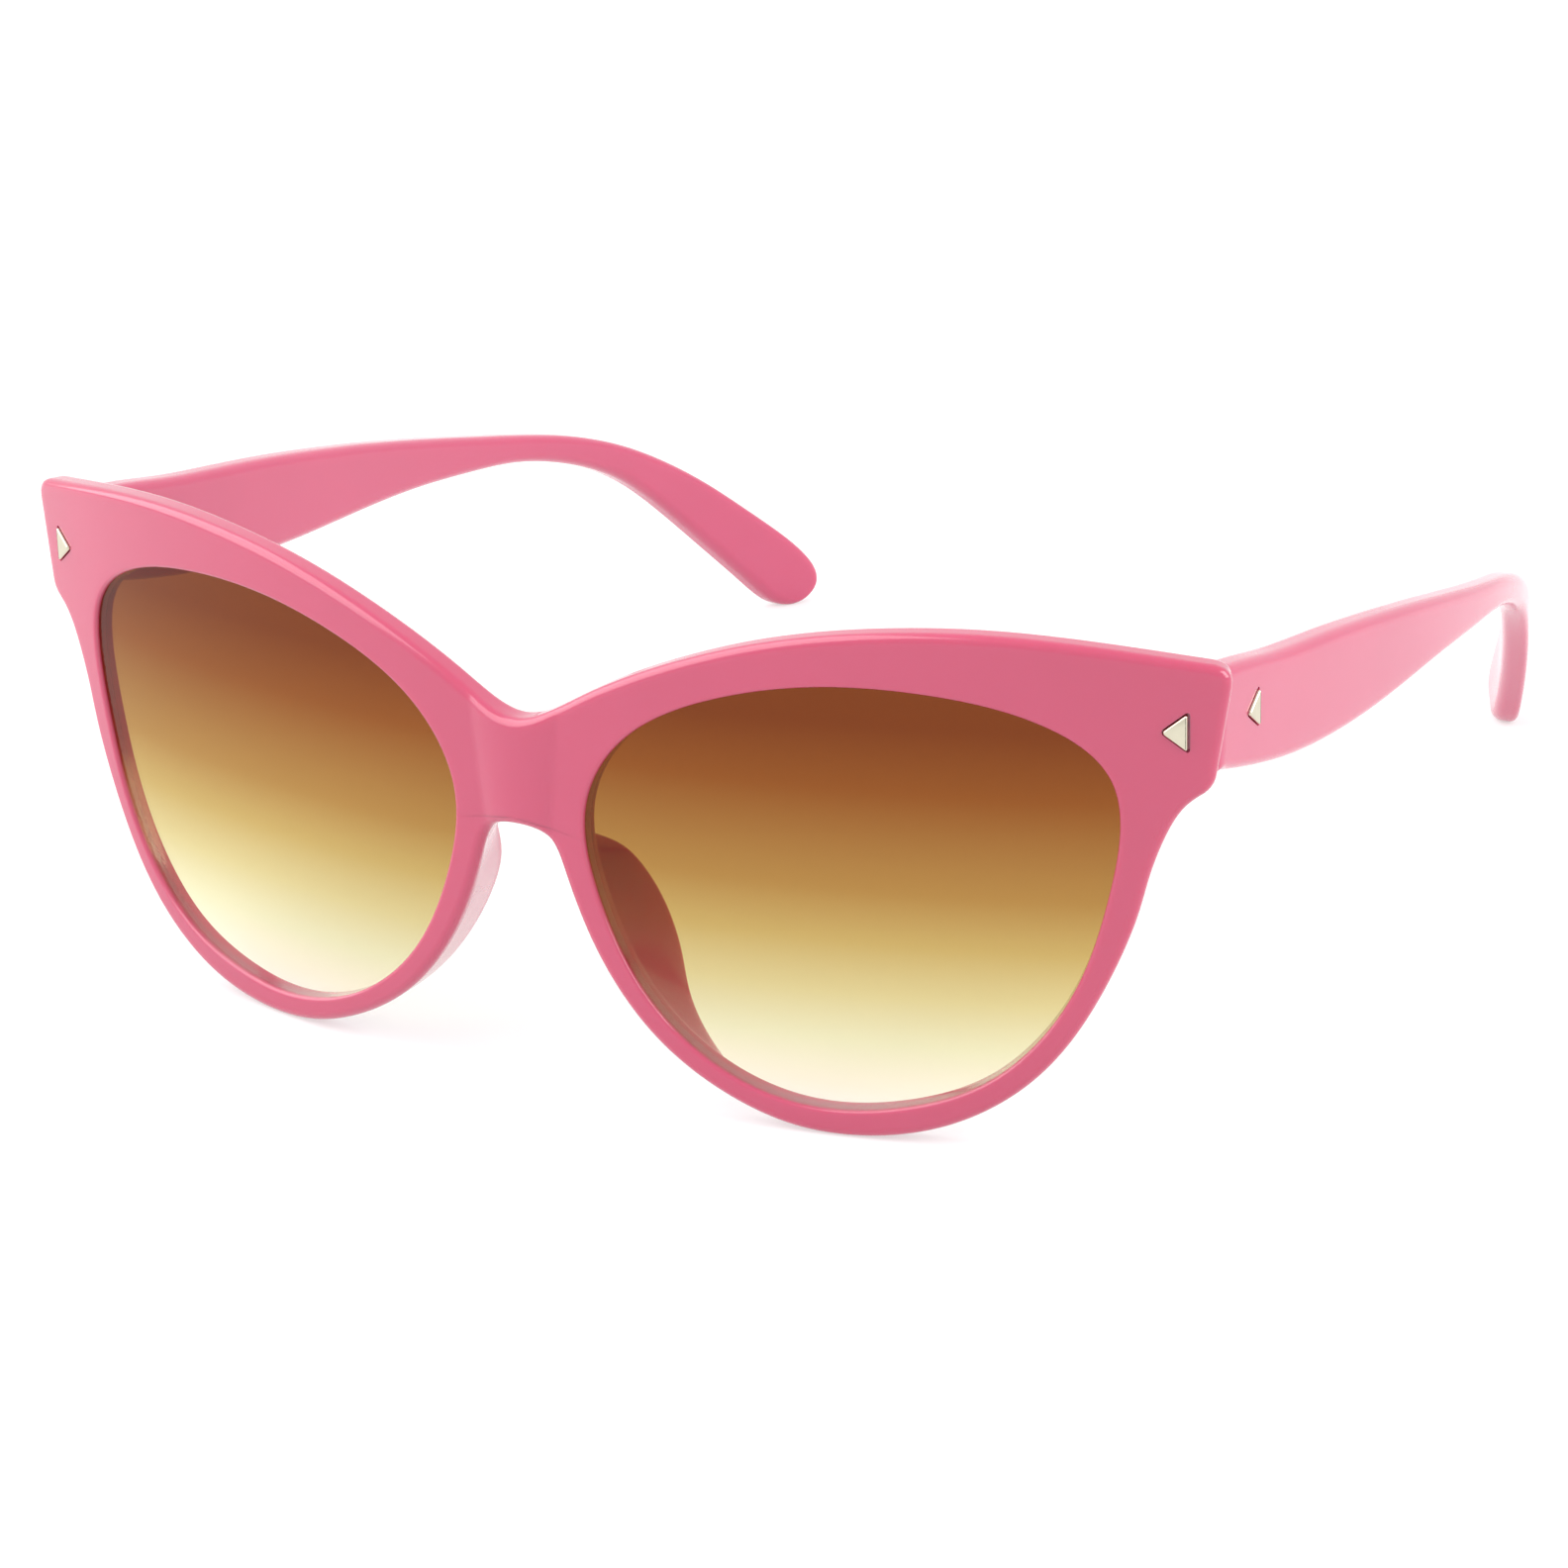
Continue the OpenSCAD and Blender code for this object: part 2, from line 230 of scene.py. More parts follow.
def rounded_corner(a, corner, b, trim, steps=10):
    """The curve that rounds a corner between two neighbours, starting trim before it."""
    a, corner, b = (np.array(q, float) for q in (a, corner, b))
    start = corner + (a - corner) * trim / np.linalg.norm(a - corner)
    end = corner + (b - corner) * trim / np.linalg.norm(b - corner)
    t = np.linspace(0, 1, steps)[:, None]
    return (1 - t) ** 2 * start + 2 * t * (1 - t) * corner + t**2 * end


def mirrored(points):
    """Points from the middle outwards, with their mirror images put before them."""
    return [(-x, z) for x, z in reversed(points[1:])] + list(points)


TIP_TRIM, LOWER_TRIM = 2.1, 1.4  # how far from each corner of the tip its rounding starts


def clipped(line, corner, trim):
    """The part of a line that is further than trim from a corner."""
    return line[np.linalg.norm(line - np.array(corner), axis=1) > trim]


def front_half(count):
    """The right half of the front's outline, from the top of the bridge round to its underside."""
    brow = spline(mirrored(BROW))
    brow = brow[brow[:, 0] >= -1e-9]
    rim = spline(RIM + [(-x, z) for x, z in reversed(RIM[:-1])])
    rim = rim[: (len(RIM) - 1) * SPLINE_STEPS + 1]
    tip, lower = BROW[-1], RIM[0]
    brow, rim = clipped(brow, tip, TIP_TRIM), clipped(rim, lower, LOWER_TRIM)
    line = np.vstack([brow, rounded_corner(brow[-1], tip, lower, TIP_TRIM),
                      rounded_corner(tip, lower, rim[0], LOWER_TRIM), rim])
    line = evenly(line, count)
    line[0, 0] = line[-1, 0] = 0
    return line


def inset(line, by):
    """A half outline moved inwards; its two ends stay on the middle plane."""
    way = np.gradient(line, axis=0)
    way[0], way[-1] = (1, 0), (-1, 0)
    way /= np.linalg.norm(way, axis=1)[:, None]
    return line + by * np.column_stack([way[:, 1], -way[:, 0]])


class EyeShape:
    """The lens opening as a radius round its middle, so that it lines up with any point of the outline."""

    def __init__(self):
        line = spline(EYE, closed=True, steps=60) - EYE_MIDDLE
        turn = np.arctan2(line[:, 1], line[:, 0])
        order = np.argsort(turn)
        self.turn, self.radius = turn[order], np.hypot(*line[order].T)

    def at(self, turns):
        r = np.interp(turns, self.turn, self.radius, period=2 * math.pi)
        return np.array(EYE_MIDDLE) + r[:, None] * np.column_stack([np.cos(turns), np.sin(turns)])

    def grown(self, turns, by):
        step = 0.01
        way = self.at(turns - step) - self.at(turns + step)
        way /= np.linalg.norm(way, axis=1)[:, None]
        return self.at(turns) + by * np.column_stack([-way[:, 1], way[:, 0]])


def bowed(x, depth, radius):
    """Depth behind the bowed face as a y coordinate."""
    return radius - np.sqrt((radius - depth) ** 2 - x**2)


def sunk(x, depth, radius):
    """The x and y of a point of the face that moves square into the plastic."""
    x = x * (radius - depth) / radius
    return x, bowed(x, depth, radius)


def quarter(steps):
    """Angles of a quarter turn, without its two ends."""
    return np.linspace(0, math.pi / 2, steps + 2)[1:-1]


# ------------------------------------------------------------------ mesh tools


def only_verts(made):
    return [g for g in made if isinstance(g, bmesh.types.BMVert)]


def ring_verts(edges):
    return list({v for e in edges for v in e.verts})


def swept(bm, loops):
    """Draws the first closed loop and extrudes it through the others; returns the first and last rings."""
    verts = [bm.verts.new(p) for p in loops[0]]
    edges = [bm.edges.new(pair) for pair in zip(verts, verts[1:] + verts[:1])]
    first = edges
    for points in loops[1:]:
        made = bmesh.ops.extrude_edge_only(bm, edges=edges)["geom"]
        new = set(only_verts(made))
        verts = [next(e.other_vert(v) for e in v.link_edges if e.other_vert(v) in new) for v in verts]
        for v, p in zip(verts, points):
            v.co = p
        edges = [bm.edges.get(pair) for pair in zip(verts, verts[1:] + verts[:1])]
    return first, edges


SMOOTH_ANGLE = 40  # edges that turn by more than this many degrees stay sharp
MERGE = 1e-4  # points closer than this, in millimetres, become one


def finished(bm, name, material, body, node, smooth_angle=SMOOTH_ANGLE):
    """Closes a mesh drawn in millimetres, stands it up, and makes it a piece that stands for a CAD node."""
    bmesh.ops.remove_doubles(bm, verts=bm.verts, dist=MERGE)
    bmesh.ops.recalc_face_normals(bm, faces=bm.faces)
    bmesh.ops.transform(bm, matrix=STAND, verts=bm.verts)
    mesh = bpy.data.meshes.new(name)
    bm.to_mesh(mesh)
    bm.free()
    mesh.shade_smooth()
    mesh.set_sharp_from_angle(angle=math.radians(smooth_angle))
    piece = bpy.data.objects.new(name, mesh)
    bpy.context.scene.collection.objects.link(piece)
    mesh.materials.append(material)
    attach(piece, body)
    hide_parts(node)
    return piece


def mirror_for(bm, side):
    """Mirrors a mesh drawn for the right side when it is wanted on the left."""
    if SIDES[side] < 0:
        bmesh.ops.scale(bm, vec=(-1, 1, 1), verts=bm.verts)
        bmesh.ops.recalc_face_normals(bm, faces=bm.faces)


# ------------------------------------------------------------------ shaders


class Output:
    """The output socket of a node, ready to be linked to other nodes."""

    def __init__(self, socket):
        self.socket = socket


class Shader:
    """A new material and the means to add nodes to it."""

    def __init__(self, name):
        self.material = bpy.data.materials.new(name)
        self.material.use_nodes = True
        self.tree = self.material.node_tree
        self.tree.nodes.clear()

    def node(self, kind, options, *values, out=0, **named):
        """Adds any node: its settings first, then values or links for its sockets in order or by name."""
        node = self.tree.nodes.new(kind)
        for key, value in options.items():
            setattr(node, key, value)
        for key, value in [*enumerate(values), *named.items()]:
            socket = node.inputs[key.replace("_", " ") if isinstance(key, str) else key]
            if isinstance(value, Output):
                self.tree.links.new(value.socket, socket)
            else:
                socket.default_value = value
        return Output(node.outputs[out]) if node.outputs else node

    def place(self, axis=None):
        """Object coordinates, or one of them."""
        point = self.node("ShaderNodeTexCoord", {}, out=3)
        if axis is None:
            return point
        return self.node("ShaderNodeSeparateXYZ", {}, point, out="XYZ".index(axis))

    def noise(self, scale, detail, roughness):
        """Fine grain from 0 to 1; scale is in grains to a metre."""
        return self.node("ShaderNodeTexNoise", {}, Vector=self.place(), Scale=scale, Detail=detail,
                         Roughness=roughness)

    def ramp(self, factor, stops):
        """A colour ramp; stops are (position, colour)."""
        made = self.node("ShaderNodeValToRGB", {}, factor)
        ramp = made.socket.node.color_ramp
        while len(ramp.elements) < len(stops):
            ramp.elements.new(0.5)
        for element, (position, shade) in zip(ramp.elements, stops):
            element.position, element.color = position, (*shade, 1)
        return made

    def span(self, value, low, high, to_low=0.0, to_high=1.0):
        """Maps a value from one range to another and keeps it inside."""
        return self.node("ShaderNodeMapRange", {"clamp": True}, value, low, high, to_low, to_high)

    def bump(self, height, distance, strength):
        return self.node("ShaderNodeBump", {}, Height=height, Distance=distance, Strength=strength)

    def surface(self, **sockets):
        """The Principled shader on the output, with its sockets set by name."""
        made = self.node("ShaderNodeBsdfPrincipled", {}, **sockets)
        self.node("ShaderNodeOutputMaterial", {}, Surface=made)
        return self.material


def shaded(rgb, by):
    return tuple(min(1.0, c * by) for c in rgb)


def moulded_plastic(name, rgb):
    """Glossy moulded plastic: a faint cloudiness in the colour and a very fine flow texture in the polish."""
    s = Shader(name)
    cloud = s.noise(35, 3, 0.6)
    tone = s.ramp(cloud, [(0.3, shaded(rgb, 0.96)), (0.7, shaded(rgb, 1.03))])
    flow = s.noise(900, 2, 0.55)
    polish = s.span(s.noise(120, 4, 0.6), 0.3, 0.7, 0.2, 0.27)
    return s.surface(Base_Color=tone, Roughness=polish, IOR=1.5, Coat_Weight=0.7, Coat_Roughness=0.1,
                     Subsurface_Weight=0.35, Subsurface_Radius=(1.0, 0.35, 0.4), Subsurface_Scale=0.002,
                     Normal=s.bump(flow, 0.00002, 0.12))


# Tint of a lens between its bottom and its top: share of the height, colour
TINT_STOPS = [(0.05, (0.97, 0.9, 0.74)), (0.165, (0.8, 0.77, 0.5)), (0.28, (0.67, 0.57, 0.27)),
              (0.4, (0.53, 0.375, 0.12)), (0.52, (0.4, 0.215, 0.052)), (0.75, (0.25, 0.074, 0.01))]
TOP_STOP = 0.9


def lens_tint(name, low, high):
    """A clear lens whose tint fades from the top to the bottom."""
    s = Shader(name)
    opt = settings("lens")
    up = s.span(s.place("Z"), low, high)
    tint = s.ramp(up, [(0.0, tuple(opt.lower)), *TINT_STOPS, (TOP_STOP, tuple(opt.upper))])
    return s.surface(Base_Color=tint, Roughness=0.0, IOR=1.25, Transmission_Weight=1.0)


RIVET_GRAIN, HINGE_GRAIN = 2600, 1800  # grains to a metre


def polished_metal(name, rgb, roughness, grain):
    """Metal with a fine grain in its polish."""
    s = Shader(name)
    fine = s.noise(grain, 3, 0.6)
    worn = s.noise(300, 2, 0.5)
    tone = s.ramp(worn, [(0.3, shaded(rgb, 0.93)), (0.7, shaded(rgb, 1.05))])
    polish = s.span(fine, 0.3, 0.7, roughness * 0.8, roughness * 1.3)
    return s.surface(Base_Color=tone, Metallic=1.0, Roughness=polish, Normal=s.bump(fine, 0.00001, 0.2))


# ------------------------------------------------------------------ front


NASAL = (24.5, 4)  # the outline belongs to the nose pad up to this x and z


def nose_pad(outer):
    """How far the nose pad stands back and leans out at each point of the outline, in millimetres."""
    line = spline(NOSE_PAD[::-1])
    line[:, 1:] = np.maximum(line[:, 1:], 0)
    nasal = (outer[:, 0] < NASAL[0]) & (outer[:, 1] < NASAL[1])
    return [np.interp(outer[:, 1], line[:, 0], line[:, k], left=0, right=0) * nasal for k in (1, 2)]


def bridge_bulge(line):
    """How far the bridge stands out between its two creases, which run closer together towards its foot."""
    opt = settings("front")
    width = opt.bulge_foot + (opt.bulge_top - opt.bulge_foot) * line[:, 1] / BROW[0][1]
    return opt.bulge * np.clip(1 - (2 * line[:, 0] / np.maximum(width, 1)) ** 2, 0, None)


SEAM_POINTS = 12  # points across the bridge, on the middle plane
ACROSS_STEPS = 18  # loops between the outer edge and the opening
PAD_RISE = 0.8  # share of the way to the outer edge over which a nose pad rises


def front_loops():
    """The loops that run round one rim, over its face, down its opening, over its back and its outer edge."""
    opt = settings("front")
    outer = front_half(opt.around)
    cut = SEAM_POINTS
    seam = np.linspace(outer[-1], outer[0], cut + 2)[1:-1]
    whole = np.vstack([outer, seam])
    turns = np.arctan2(whole[:, 1] - EYE_MIDDLE[1], whole[:, 0] - EYE_MIDDLE[0])
    eye = EyeShape()
    back, out = (np.concatenate([share, np.zeros(cut)]) for share in nose_pad(outer))

    def outside(by):
        line = inset(outer, by)
        return np.vstack([line, np.linspace(line[-1], line[0], cut + 2)[1:-1]])

    def placed(line, depth, pad):
        """Bows a loop and pushes it back where it belongs to the nose pad."""
        x, y = sunk(line[:, 0], depth, opt.bow)
        y = y - bridge_bulge(line) * (1 - depth / opt.thick)
        return np.column_stack([x + out * pad, y + back * pad, line[:, 1]])

    def across(start, end, steps):
        for s in np.linspace(0, 1, steps):
            yield s, start + (end - start) * s

    loops = []
    for _, line in across(outside(opt.edge), eye.grown(turns, opt.lip), ACROSS_STEPS):
        loops.append(placed(line, 0, 0))
    for a in quarter(4):
        loops.append(placed(eye.grown(turns, opt.lip * (1 - math.sin(a))), opt.lip * (1 - math.cos(a)), 0))
    low_lip = opt.lip / 2
    for depth in np.linspace(opt.lip, opt.thick - low_lip, 4):
        loops.append(placed(eye.at(turns), depth, 0))
    for a in quarter(3):
        loops.append(placed(eye.grown(turns, low_lip * (1 - math.cos(a))),
                            opt.thick - low_lip * (1 - math.sin(a)), 0))
    for s, line in across(eye.grown(turns, low_lip), outside(opt.back_edge), ACROSS_STEPS + 6):
        ease = min(s / PAD_RISE, 1)
        loops.append(placed(line, opt.thick, ease * ease * (3 - 2 * ease)))
    for a in quarter(4):
        loops.append(placed(outside(opt.back_edge * (1 - math.sin(a))),
                            opt.thick - opt.back_edge * (1 - math.cos(a)), 1))
    wall_back = opt.thick - opt.back_edge
    for s in np.linspace(1, 0, 8):
        loops.append(placed(outside(0), opt.edge + (wall_back - opt.edge) * s, s))
    for a in quarter(4):
        loops.append(placed(outside(opt.edge * (1 - math.cos(a))), opt.edge * (1 - math.sin(a)), 0))
    loops.append(loops[0])
    return loops


def rivet_places():
    """Where each kind of rivet sits on the right: its name, its body where both sides share one, and the
    matrix that places a head that faces -Y and points to -X."""
    opt, front, temple = settings("rivet"), settings("front"), settings("temple")
    lean = math.asin(opt.front_x / front.bow)
    face = Matrix.Translation((opt.front_x, bowed(opt.front_x, 0, front.bow), opt.front_z))
    yield "front_rivet", "front", face @ Matrix.Rotation(lean, 4, "Z")
    cheek = Matrix.Translation((temple.x + temple.thick / 2, opt.temple_y, opt.temple_z))
    yield "temple_rivet", None, cheek @ Matrix.Rotation(math.pi / 2, 4, "Z")


GROW_LONG, GROW_TALL = 2.2, 3.2  # gain in length and in height for each millimetre its sides move out


def rivet_head(bm, grow, low, high, bevel):
    """A triangle with rounded corners between two heights, its outer edge bevelled."""
    opt = settings("rivet")
    length, height = opt.length + GROW_LONG * grow, opt.height + GROW_TALL * grow
    corners = [(-length / 2, 0), (length / 2, height / 2), (length / 2, -height / 2)]
    face = bm.faces.new([bm.verts.new((x, -low, z)) for x, z in corners])
    made = bmesh.ops.extrude_face_region(bm, geom=[face])["geom"]
    bmesh.ops.translate(bm, vec=(0, low - high, 0), verts=only_verts(made))
    bmesh.ops.recalc_face_normals(bm, faces=bm.faces)
    upright = [e for e in bm.edges if abs(e.verts[0].co.y - e.verts[1].co.y) > 1e-6]
    bmesh.ops.bevel(bm, geom=upright, offset=opt.corner + grow, affect="EDGES", segments=6, profile=0.5,
                    material=-1)
    if bevel:
        rim = [e for e in bm.edges if all(abs(v.co.y + high) < 1e-6 for v in e.verts)]
        bmesh.ops.bevel(bm, geom=rim, offset=bevel, affect="EDGES", segments=3, profile=0.5, material=-1)


def shanks(bm, depth):
    """The two shanks that run from a rivet head through the plastic and the hinge leaf behind it."""
    opt = settings("rivet")
    depth = depth + opt.shank_proud
    for up in (1, -1):
        place = Matrix.Translation((opt.length / 2 - opt.shank_back, depth / 2, up * opt.shank_gap / 2))
        bmesh.ops.create_cone(bm, cap_ends=True, segments=24, depth=depth, radius1=opt.shank,
                              radius2=opt.shank, matrix=place @ Matrix.Rotation(math.pi / 2, 4, "X"))


POCKET_GROW, POCKET_DEEP = 0.22, 0.55
HEAD_SUNK = 0.2  # how far a head goes into the floor of its pocket
CUTTER_PROUD = 1.5  # how far what cuts a pocket stands out of the plastic


def cut_pockets(piece, kind, sides):
    """Sinks the pockets that the rivet heads sit in."""
    matrix = next(matrix for name, _, matrix in rivet_places() if name == kind)
    for side in sides:
        bm = bmesh.new()
        rivet_head(bm, POCKET_GROW, -POCKET_DEEP, CUTTER_PROUD, 0)
        bmesh.ops.transform(bm, matrix=matrix, verts=bm.verts)
        mirror_for(bm, side)
        bmesh.ops.transform(bm, matrix=STAND, verts=bm.verts)
        bmesh.ops.recalc_face_normals(bm, faces=bm.faces)
        mesh = bpy.data.meshes.new("pocket")
        bm.to_mesh(mesh)
        bm.free()
        cutter = bpy.data.objects.new("pocket", mesh)
        bpy.context.scene.collection.objects.link(cutter)
        cut = piece.modifiers.new("pocket", "BOOLEAN")
        cut.operation, cut.solver, cut.object = "DIFFERENCE", "EXACT", cutter
        shape = bpy.data.meshes.new_from_object(piece.evaluated_get(bpy.context.evaluated_depsgraph_get()))
        piece.modifiers.remove(cut)
        old, piece.data = piece.data, shape
        bpy.data.meshes.remove(old)
        bpy.data.objects.remove(cutter)
        bpy.data.meshes.remove(mesh)
    piece.data.shade_smooth()
    piece.data.set_sharp_from_angle(angle=math.radians(SMOOTH_ANGLE))


class SUNGLASSES_OT_front(Operator):
    """Builds the moulded front with its rims, bridge, nose pads and rivet pockets"""

    bl_idname = "sunglasses.front"
    bl_label = "Front"

    def execute(self, context):
        bm = bmesh.new()
        swept(bm, front_loops())
        bmesh.ops.remove_doubles(bm, verts=bm.verts, dist=MERGE)
        middle = [f for f in bm.faces if all(abs(v.co.x) < 1e-5 for v in f.verts)]
        bmesh.ops.delete(bm, geom=middle, context="FACES")
        bmesh.ops.mirror(bm, geom=[*bm.verts, *bm.edges, *bm.faces], axis="X", merge_dist=MERGE)
        plastic = moulded_plastic("front plastic", tuple(settings("front").colour))
        piece = finished(bm, "front_shell", plastic, "front", "front_frame")
        cut_pockets(piece, "front_rivet", SIDES)
        return {"FINISHED"}


# ------------------------------------------------------------------ lenses


LENS_AROUND, LENS_ACROSS = 240, 26
LENS_CORE = 0.002  # size of the innermost loop, as a share of the outline, before it closes to a point


class SUNGLASSES_OT_lenses(Operator):
    """Builds both bowed lenses with their fading tint"""

    bl_idname = "sunglasses.lenses"
    bl_label = "Lenses"

    def execute(self, context):
        opt, front = settings("lens"), settings("front")
        turns = np.linspace(math.pi, -math.pi, LENS_AROUND, endpoint=False)
        rim = EyeShape().grown(turns, opt.seat)
        middle = np.array(EYE_MIDDLE)
        low, high = (STAND @ Vector((0, 0, z)) for z in (rim[:, 1].min(), rim[:, 1].max()))
        tint = lens_tint("lens tint", low.z, high.z)
        for side in SIDES:
            loops = []
            shares = np.linspace(LENS_CORE, 1, LENS_ACROSS)
            for share, depth in [*((s, 0) for s in shares), *((s, opt.thick) for s in shares[::-1])]:
                line = middle + (rim - middle) * share
                x, y = sunk(line[:, 0], opt.inset + depth, front.bow)
                loops.append(np.column_stack([x, y, line[:, 1]]))
            bm = bmesh.new()
            for ring in swept(bm, loops):
                bmesh.ops.pointmerge(bm, verts=ring_verts(ring), merge_co=ring[0].verts[0].co)
            mirror_for(bm, side)
            finished(bm, "lens_pane_" + side, tint, "front", "lens_" + side)
        return {"FINISHED"}


# ------------------------------------------------------------------ temples


TOE_POWER = 4
SAMPLES = 1500  # points on each edge, before the sections are picked
SECTIONS = 150
CROWDING = 1.6  # the power that crowds the sections towards the tip
FIRST_SECTION = 20.4  # y of the first whole section behind the front
ROUND_FROM = 130  # y past which the tip is rounded across too
ROUND_SHARE = 0.96  # share of the length where the tip has its full height
# Rounded end at the hinge: how much each section shrinks, and how far it stands behind the first
START = ((0.35, 0), (0.1, 0.1), (0.0, 0.35))
SHRINK = (0.5, 0, 0.17)  # share of that shrinking which counts across, along and up


def toe(y):
    """How far the middle of a temple is from the middle plane."""
    opt = settings("temple")
    return opt.x - opt.toe * (np.maximum(y - opt.start, 0) / opt.run) ** TOE_POWER


def section(half_wide, half_tall, radius, corner_steps=6, flat_steps=5):
    """A rectangle with rounded corners, as points (across, up)."""
    radius = min(radius, 0.999 * half_wide, 0.999 * half_tall)
    signs = ((1, 1), (-1, 1), (-1, -1), (1, -1))
    out = []
    for k in range(4):
        middle, after = (np.array((sx * (half_wide - radius), sy * (half_tall - radius)))
                         for sx, sy in (signs[k], signs[(k + 1) % 4]))
        for a in np.linspace(k, k + 1, corner_steps + 1) * math.pi / 2:
            out.append(middle + radius * np.array((math.cos(a), math.sin(a))))
        turn = (k + 1) * math.pi / 2
        after = after + radius * np.array((math.cos(turn), math.sin(turn)))
        end = out[-1]
        for t in np.linspace(0, 1, flat_steps + 1)[1:-1]:
            out.append(end * (1 - t) + after * t)
    return np.array(out)


def temple_loops():
    """The sections of the right temple, from its face at the hinge to its tip."""
    opt, front = settings("temple"), settings("front")
    share = 1 - (1 - np.linspace(0, 1, SECTIONS)) ** CROWDING
    at = np.linspace(0, 1, SAMPLES)
    edges = [evenly(spline(line), SAMPLES) for line in (TEMPLE_TOP, TEMPLE_UNDER)]
    top, under = (np.column_stack([np.interp(share, at, line[:, k]) for k in (0, 1)]) for line in edges)
    half = np.linalg.norm(top - under, axis=1) / 2
    full = half[np.searchsorted(share, ROUND_SHARE)]
    loops = []
    for t, u, h in zip(top, under, half):
        middle = (t + u) / 2
        if middle[0] < FIRST_SECTION:
            continue
        up = (t - u) / max(np.linalg.norm(t - u), 1e-9)
        wide = opt.thick + (opt.tip - opt.thick) * max(middle[0] - opt.start, 0) / opt.run
        if middle[0] > ROUND_FROM and h < full:
            wide *= math.sqrt(max(1 - (1 - h / full) ** 2, 1e-6))
        ring = section(wide / 2, max(h, 1e-3), opt.edge)
        y = middle[0] + up[0] * ring[:, 1]
        loops.append(np.column_stack([toe(y) + ring[:, 0], y, middle[1] + up[1] * ring[:, 1]]))
    face = loops[0]
    back = bowed(face[:, 0], front.thick + opt.gap, front.bow)
    middle = face.mean(axis=0)
    start = []
    for by, depth in START:
        ring = middle + (face - middle) * (1 - by * np.array(SHRINK))
        start.append(np.column_stack([ring[:, 0], back + depth, ring[:, 2]]))
    return start + loops


class SUNGLASSES_OT_temples(Operator):
    """Builds both temples with their ear bends"""

    bl_idname = "sunglasses.temples"
    bl_label = "Temples"

    def execute(self, context):
        plastic = moulded_plastic("temple plastic", tuple(settings("temple").colour))
        loops = temple_loops()
        for side in SIDES:
            bm = bmesh.new()
            first, last = swept(bm, loops)
            bmesh.ops.contextual_create(bm, geom=first)
            bmesh.ops.pointmerge(bm, verts=ring_verts(last), merge_co=Vector(loops[-1].mean(axis=0)))
            mirror_for(bm, side)
            piece = finished(bm, "temple_arm_" + side, plastic, side + "_temple", "temple_" + side)
            cut_pockets(piece, "temple_rivet", [side])
        return {"FINISHED"}


# ------------------------------------------------------------------ metal


HEAD_ANGLE = 30  # edges of a rivet head that turn by more than this many degrees stay sharp


class SUNGLASSES_OT_rivets(Operator):
    """Builds the polished triangular rivets"""

    bl_idname = "sunglasses.rivets"
    bl_label = "Rivets"

    def execute(self, context):
        opt = settings("rivet")
        depths = {"front_rivet": settings("front").thick, "temple_rivet": settings("temple").thick}
        nickel = polished_metal("polished nickel", tuple(opt.colour), 0.16, RIVET_GRAIN)
        for kind, body, matrix in rivet_places():
            for side in SIDES:
                bm = bmesh.new()
                rivet_head(bm, 0, -POCKET_DEEP - HEAD_SUNK, opt.proud, opt.bevel)
                shanks(bm, depths[kind])
                bmesh.ops.transform(bm, matrix=matrix, verts=bm.verts)
                mirror_for(bm, side)
                finished(bm, f"{kind}_head_{side}", nickel, body or side + "_temple", f"{kind}_{side}",
                         HEAD_ANGLE)
        return {"FINISHED"}


class SUNGLASSES_OT_hinges(Operator):
    """Gives the hinge leaves and screws of the CAD model their metal"""

    bl_idname = "sunglasses.hinges"
    bl_label = "Hinges"

    def execute(self, context):
        plate = polished_metal("plated hinge", (0.52, 0.5, 0.45), 0.3, HINGE_GRAIN)
        steel = polished_metal("screw steel", (0.42, 0.41, 0.39), 0.34, HINGE_GRAIN)
        for side in SIDES:
            for kind, metal in (("front_hinge_leaf_", plate), ("temple_hinge_leaf_", plate),
                                ("hinge_screw_", steel)):
                node = frame["nodes"][kind + side]
                node.data.materials.clear()
                node.data.materials.append(metal)
        return {"FINISHED"}


# ------------------------------------------------------------------ stage


TARGET = (26.16, 10, 5.4)  # what the camera looks at, in the front's own frame
# Lamps that face the middle of the floor: name, place, size, power
LAMPS = (("key", (-0.8, -0.45, 0.8), 1.5, 17), ("side", (1.0, 0.15, 0.6), 0.8, 8))
WORLD_LIGHT = 1.05
FLOOR_HALF = 6


def camera_matrix():
    """The camera's place, worked out in the front's own frame."""
    opt = settings("stage")
    az, el = opt.azimuth, opt.elevation
    back = Vector((math.sin(az) * math.cos(el), -math.cos(az) * math.cos(el), math.sin(el)))
    right = Vector((math.cos(az), math.sin(az), 0))
    up = back.cross(right)
    right, up = (math.cos(opt.roll) * right + math.sin(opt.roll) * up,
                 math.cos(opt.roll) * up - math.sin(opt.roll) * right)
    turn = Matrix((right, up, back)).transposed().to_4x4()
    lean = STAND.to_3x3().normalized().to_4x4()
    return Matrix.Translation(STAND @ (Vector(TARGET) + opt.distance * back)) @ lean @ turn


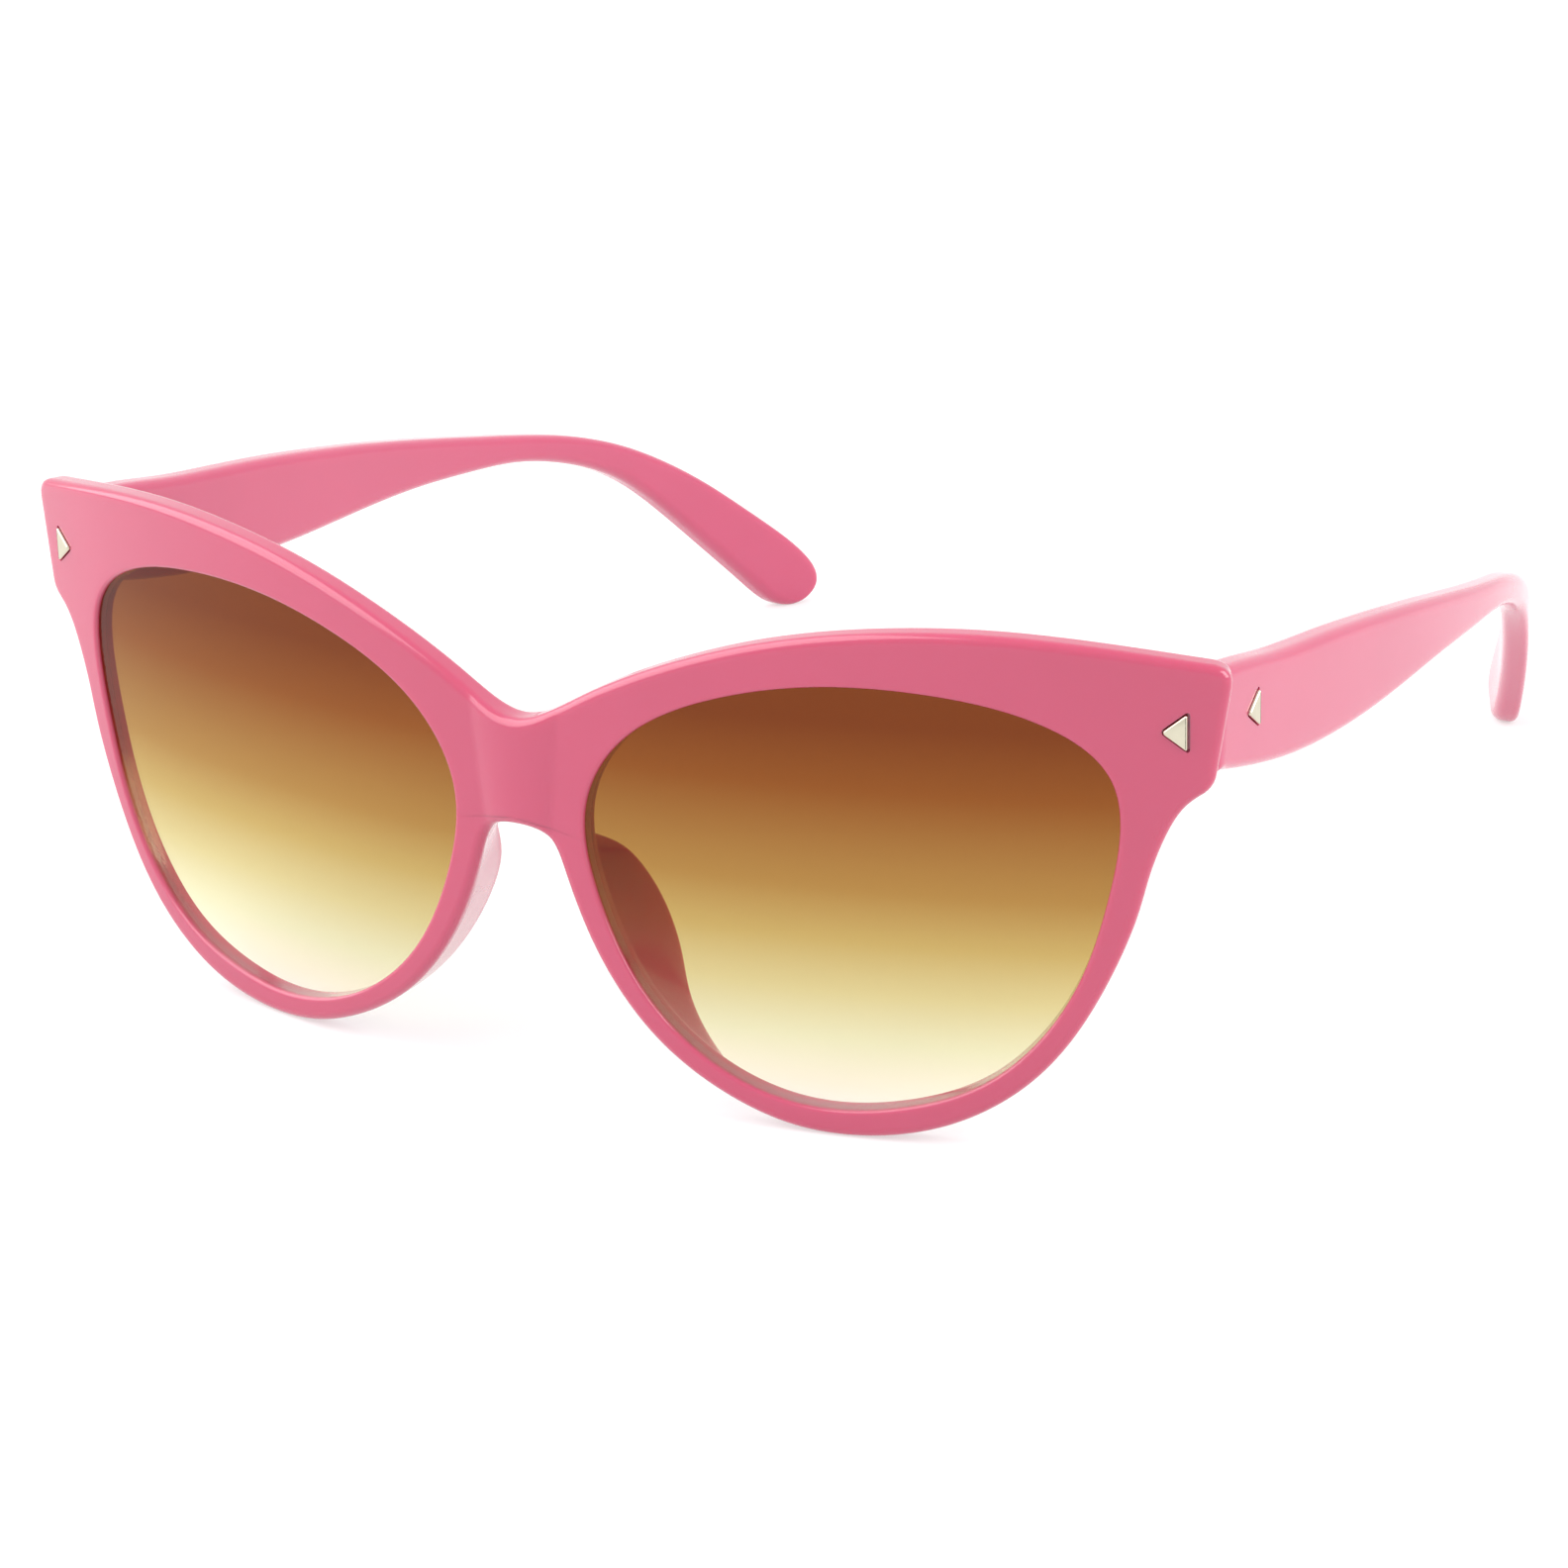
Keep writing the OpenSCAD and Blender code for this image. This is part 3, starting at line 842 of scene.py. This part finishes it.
class SUNGLASSES_OT_stage(Operator):
    """Sets the floor, the light and the camera"""

    bl_idname = "sunglasses.stage"
    bl_label = "Stage"

    def execute(self, context):
        scene, opt = context.scene, settings("stage")
        bm = bmesh.new()
        bmesh.ops.create_grid(bm, x_segments=1, y_segments=1, size=FLOOR_HALF)
        mesh = bpy.data.meshes.new("floor")
        bm.to_mesh(mesh)
        bm.free()
        floor = bpy.data.objects.new("floor", mesh)
        scene.collection.objects.link(floor)
        s = Shader("floor")
        mesh.materials.append(s.surface(Base_Color=(*opt.floor, 1), Roughness=0.9,
                                        Emission_Color=(*opt.glow, 1), Emission_Strength=1.0))
        world = bpy.data.worlds.new("studio")
        world.use_nodes = True
        light = world.node_tree.nodes["Background"].inputs
        light["Color"].default_value, light["Strength"].default_value = (1, 1, 1, 1), WORLD_LIGHT
        scene.world = world
        for name, place, size, power in LAMPS:
            lamp = bpy.data.lights.new(name, "AREA")
            lamp.size, lamp.energy = size, power
            held = bpy.data.objects.new(name, lamp)
            held.location = place
            held.rotation_euler = (-Vector(place)).to_track_quat("-Z", "Y").to_euler()
            scene.collection.objects.link(held)
        data = bpy.data.cameras.new("camera")
        data.lens, data.sensor_width, data.clip_end = opt.lens, 36, 50
        camera = bpy.data.objects.new("camera", data)
        camera.matrix_world = camera_matrix()
        scene.collection.objects.link(camera)
        scene.camera = camera
        scene.view_settings.view_transform = "Standard"
        return {"FINISHED"}


# ------------------------------------------------------------------ add-on


OPERATORS = (SUNGLASSES_OT_front, SUNGLASSES_OT_lenses, SUNGLASSES_OT_temples, SUNGLASSES_OT_rivets,
             SUNGLASSES_OT_hinges, SUNGLASSES_OT_stage)


class SUNGLASSES_PT_panel(Panel):
    """Lists the pieces of the sunglasses"""

    bl_label = "Sunglasses"
    bl_space_type = "VIEW_3D"
    bl_region_type = "UI"
    bl_category = "Sunglasses"

    def draw(self, context):
        for operator in OPERATORS:
            self.layout.operator(operator.bl_idname)
        for name, group in GROUPS.items():
            box = self.layout.box()
            box.label(text=name.capitalize())
            for key in group.__annotations__:
                box.prop(settings(name), key)


CLASSES = (*GROUPS.values(), *OPERATORS, SUNGLASSES_PT_panel)


def register():
    for cls in CLASSES:
        bpy.utils.register_class(cls)
    for name, group in GROUPS.items():
        setattr(bpy.types.Scene, "sunglasses_" + name, PointerProperty(type=group))


def unregister():
    for name in GROUPS:
        delattr(bpy.types.Scene, "sunglasses_" + name)
    for cls in reversed(CLASSES):
        bpy.utils.unregister_class(cls)


def main():
    register()
    for operator in OPERATORS:
        group, name = operator.bl_idname.split(".")
        getattr(getattr(bpy.ops, group), name)()


if __name__ == "__main__":
    main()
